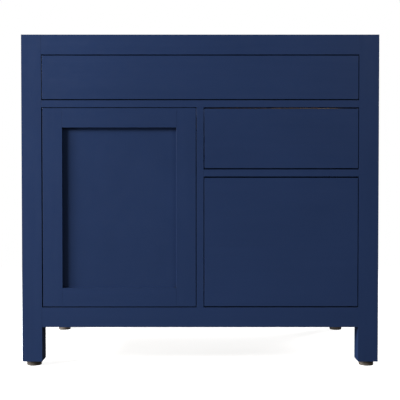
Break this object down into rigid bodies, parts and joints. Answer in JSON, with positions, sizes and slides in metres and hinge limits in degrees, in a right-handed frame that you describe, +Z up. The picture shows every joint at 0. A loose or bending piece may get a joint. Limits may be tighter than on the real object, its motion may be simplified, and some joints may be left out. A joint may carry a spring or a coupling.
{
  "type": "bathroom vanity cabinet",
  "caption": "Floor-standing vanity base on square legs with a plain false front, one framed door on concealed hinges and plain drawers on side-mounted slides.",
  "frame": {"origin": "on the floor, under the middle of the cabinet's width and depth", "axes": "+Z up, front faces -Y, +X to the right when facing the front"},
  "size_m": [0.9144, 0.5462, 0.8509],
  "materials": {
    "navy_paint": "satin navy paint over hardwood and MDF",
    "birch": "clear satin lacquer",
    "painted_plywood": "birch plywood, painted satin navy on its inner faces and clear lacquered on its hidden ones",
    "zinc_plated_steel": "zinc plated",
    "grey_latch_plastic": "moulded, fine matte texture",
    "taupe_foot_plastic": "moulded, fine matte texture"
  },
  "bodies": {
    "cabinet": {"post_front_left": "navy_paint", "post_front_right": "navy_paint", "post_rear_left": "navy_paint", "post_rear_right": "navy_paint", "rail_front_top": "navy_paint", "rail_front_middle": "navy_paint", "rail_front_bottom": "navy_paint", "stile_front_centre": "navy_paint", "rail_between_drawers": "navy_paint", "false_front": "navy_paint", "side_panel_left": "navy_paint", "side_panel_right": "navy_paint", "rail_back_top": "navy_paint", "rail_back_bottom": "navy_paint", "back_panel": "painted_plywood", "floor_panel": "painted_plywood", "centre_partition": "painted_plywood", "runner_batten_upper": "birch", "runner_batten_lower": "birch", "hinge_plate_upper": "zinc_plated_steel", "hinge_plate_lower": "zinc_plated_steel", "hinge_arm_upper": "zinc_plated_steel", "hinge_arm_lower": "zinc_plated_steel", "latch_housing": "grey_latch_plastic", "upper_slide_cabinet_left": "zinc_plated_steel", "upper_slide_cabinet_right": "zinc_plated_steel", "lower_slide_cabinet_left": "zinc_plated_steel", "lower_slide_cabinet_right": "zinc_plated_steel"},
    "door": {"door_stile_left": "navy_paint", "door_stile_right": "navy_paint", "door_rail_top": "navy_paint", "door_rail_bottom": "navy_paint", "door_panel": "navy_paint", "hinge_cup_upper": "zinc_plated_steel", "hinge_cup_lower": "zinc_plated_steel"},
    "latch_plunger": {"latch_plunger": "grey_latch_plastic"},
    "upper_drawer": {"upper_drawer_front": "navy_paint", "upper_drawer_inner_front": "birch", "upper_drawer_back": "birch", "upper_drawer_side_left": "birch", "upper_drawer_side_right": "birch", "upper_drawer_bottom": "birch", "upper_slide_drawer_left": "zinc_plated_steel", "upper_slide_drawer_right": "zinc_plated_steel"},
    "upper_slide_members": {"upper_slide_middle_left": "zinc_plated_steel", "upper_slide_middle_right": "zinc_plated_steel"},
    "lower_drawer": {"lower_drawer_front": "navy_paint", "lower_drawer_inner_front": "birch", "lower_drawer_back": "birch", "lower_drawer_side_left": "birch", "lower_drawer_side_right": "birch", "lower_drawer_bottom": "birch", "lower_slide_drawer_left": "zinc_plated_steel", "lower_slide_drawer_right": "zinc_plated_steel"},
    "lower_slide_members": {"lower_slide_middle_left": "zinc_plated_steel", "lower_slide_middle_right": "zinc_plated_steel"},
    "foot_front_left": {"foot_front_left": "taupe_foot_plastic"},
    "foot_front_right": {"foot_front_right": "taupe_foot_plastic"},
    "foot_rear_left": {"foot_rear_left": "taupe_foot_plastic"},
    "foot_rear_right": {"foot_rear_right": "taupe_foot_plastic"}
  },
  "joints": [
    {"name": "door_hinge", "type": "hinge", "parent": "cabinet", "child": "door", "pos_m": [-0.3866, -0.26355, 0.4094], "axis": [0, 0, -1], "range_deg": [0, 97]},
    {"name": "latch_plunger_push", "type": "slide", "parent": "cabinet", "child": "latch_plunger", "axis": [0, 1, 0], "range_m": [0, 0.003], "stiffness_N_per_m": 400, "springref_m": -0.002},
    {"name": "upper_drawer_slide", "type": "slide", "parent": "cabinet", "child": "upper_drawer", "axis": [0, -1, 0], "range_m": [0, 0.43]},
    {"name": "upper_slide_member_travel", "type": "slide", "parent": "cabinet", "child": "upper_slide_members", "axis": [0, -1, 0], "range_m": [0, 0.215]},
    {"name": "lower_drawer_slide", "type": "slide", "parent": "cabinet", "child": "lower_drawer", "axis": [0, -1, 0], "range_m": [0, 0.43]},
    {"name": "lower_slide_member_travel", "type": "slide", "parent": "cabinet", "child": "lower_slide_members", "axis": [0, -1, 0], "range_m": [0, 0.215]},
    {"name": "foot_front_left_height", "type": "slide", "parent": "cabinet", "child": "foot_front_left", "axis": [0, 0, -1], "range_m": [0, 0.015]},
    {"name": "foot_front_right_height", "type": "slide", "parent": "cabinet", "child": "foot_front_right", "axis": [0, 0, -1], "range_m": [0, 0.015]},
    {"name": "foot_rear_left_height", "type": "slide", "parent": "cabinet", "child": "foot_rear_left", "axis": [0, 0, -1], "range_m": [0, 0.015]},
    {"name": "foot_rear_right_height", "type": "slide", "parent": "cabinet", "child": "foot_rear_right", "axis": [0, 0, -1], "range_m": [0, 0.015]}
  ],
  "couplings": [
    {"joint": "upper_slide_member_travel", "follows": "upper_drawer_slide", "ratio": 0.5},
    {"joint": "lower_slide_member_travel", "follows": "lower_drawer_slide", "ratio": 0.5}
  ]
}
